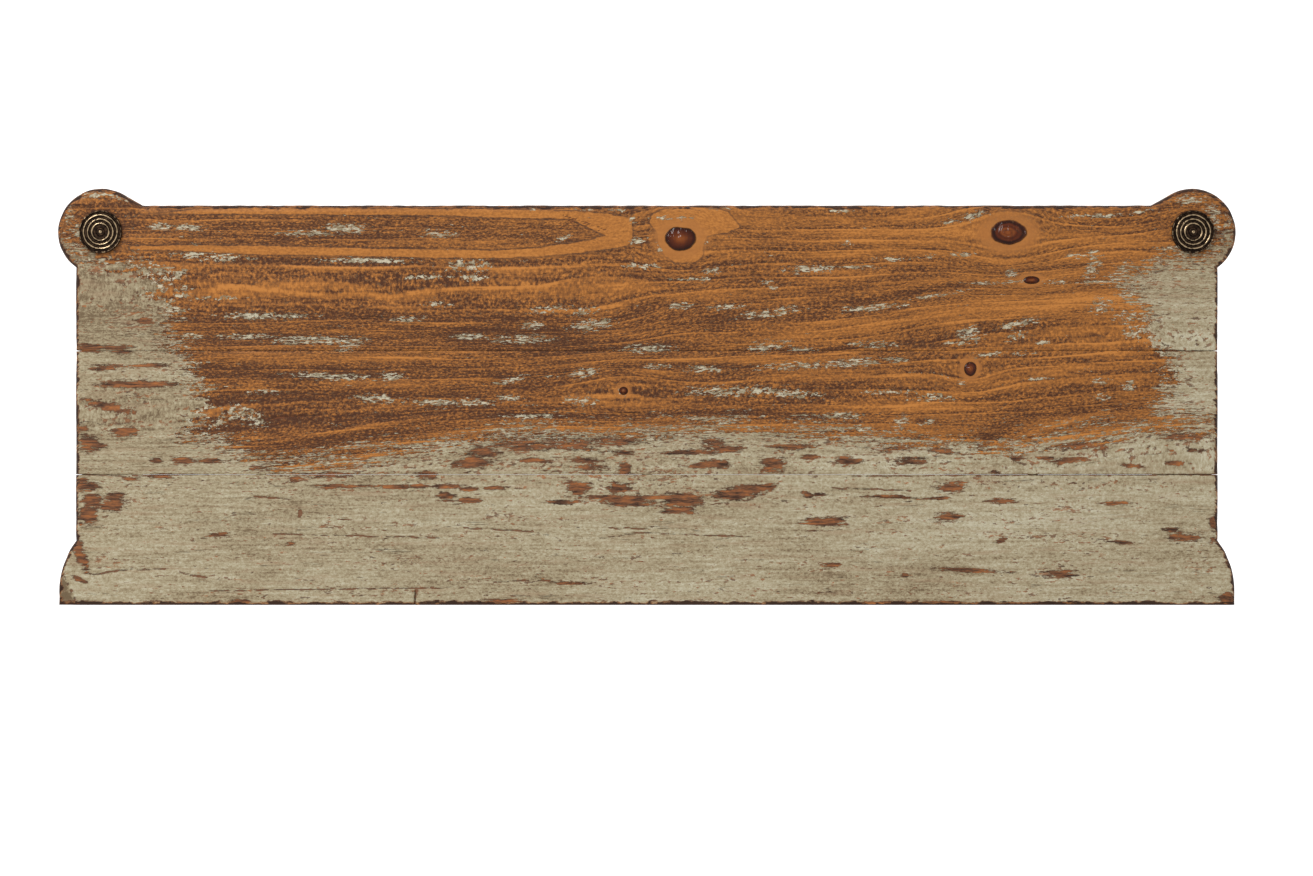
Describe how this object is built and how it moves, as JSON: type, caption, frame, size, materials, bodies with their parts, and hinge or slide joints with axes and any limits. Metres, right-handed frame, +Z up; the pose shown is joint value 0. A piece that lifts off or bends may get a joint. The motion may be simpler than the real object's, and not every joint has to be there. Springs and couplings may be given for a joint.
{
  "type": "wall shelf",
  "caption": "Wall shelf: planked pine board with round front corners capped by bronze medallions, on pegged timber brackets joined by a back rail.",
  "frame": {"origin": "middle of the back rail's wall face, half way along the shelf and half way up the rail", "axes": "+X along the shelf, +Y into the wall (the wall is the plane Y = 0 and the front faces -Y), +Z up"},
  "size_m": [0.914, 0.323, 0.2958],
  "materials": {
    "painted_pine": "cream-grey milk paint worn through to waxed amber and brown pine",
    "joint_pin": "bare end-grain hardwood, oiled",
    "aged_bronze": "dark patinated bronze, bright where the raised rings are rubbed",
    "zinc_steel": "zinc-plated, dull"
  },
  "bodies": {
    "root": {"plank_front": "painted_pine", "plank_middle": "painted_pine", "plank_rear": "painted_pine", "front_seam_dowel_1": "joint_pin", "front_seam_dowel_2": "joint_pin", "front_seam_dowel_3": "joint_pin", "rear_seam_dowel_1": "joint_pin", "rear_seam_dowel_2": "joint_pin", "rear_seam_dowel_3": "joint_pin", "medallion_left": "aged_bronze", "medallion_right": "aged_bronze", "corner_bolt_left": "zinc_steel", "corner_bolt_right": "zinc_steel", "corner_washer_left": "zinc_steel", "corner_washer_right": "zinc_steel", "bracket_leg_left": "painted_pine", "bracket_leg_right": "painted_pine", "bracket_arm_left": "painted_pine", "bracket_arm_right": "painted_pine", "bracket_brace_left": "painted_pine", "bracket_brace_right": "painted_pine", "arm_peg_left": "joint_pin", "arm_peg_right": "joint_pin", "foot_peg_left": "joint_pin", "foot_peg_right": "joint_pin", "head_peg_left": "joint_pin", "head_peg_right": "joint_pin", "arm_screw_left_1": "zinc_steel", "arm_screw_left_2": "zinc_steel", "arm_screw_right_1": "zinc_steel", "arm_screw_right_2": "zinc_steel", "back_rail": "painted_pine", "board_dowel_1": "joint_pin", "board_dowel_2": "joint_pin", "board_dowel_3": "joint_pin", "rail_dowel_left_1": "joint_pin", "rail_dowel_left_2": "joint_pin", "rail_dowel_right_1": "joint_pin", "rail_dowel_right_2": "joint_pin"}
  },
  "joints": []
}
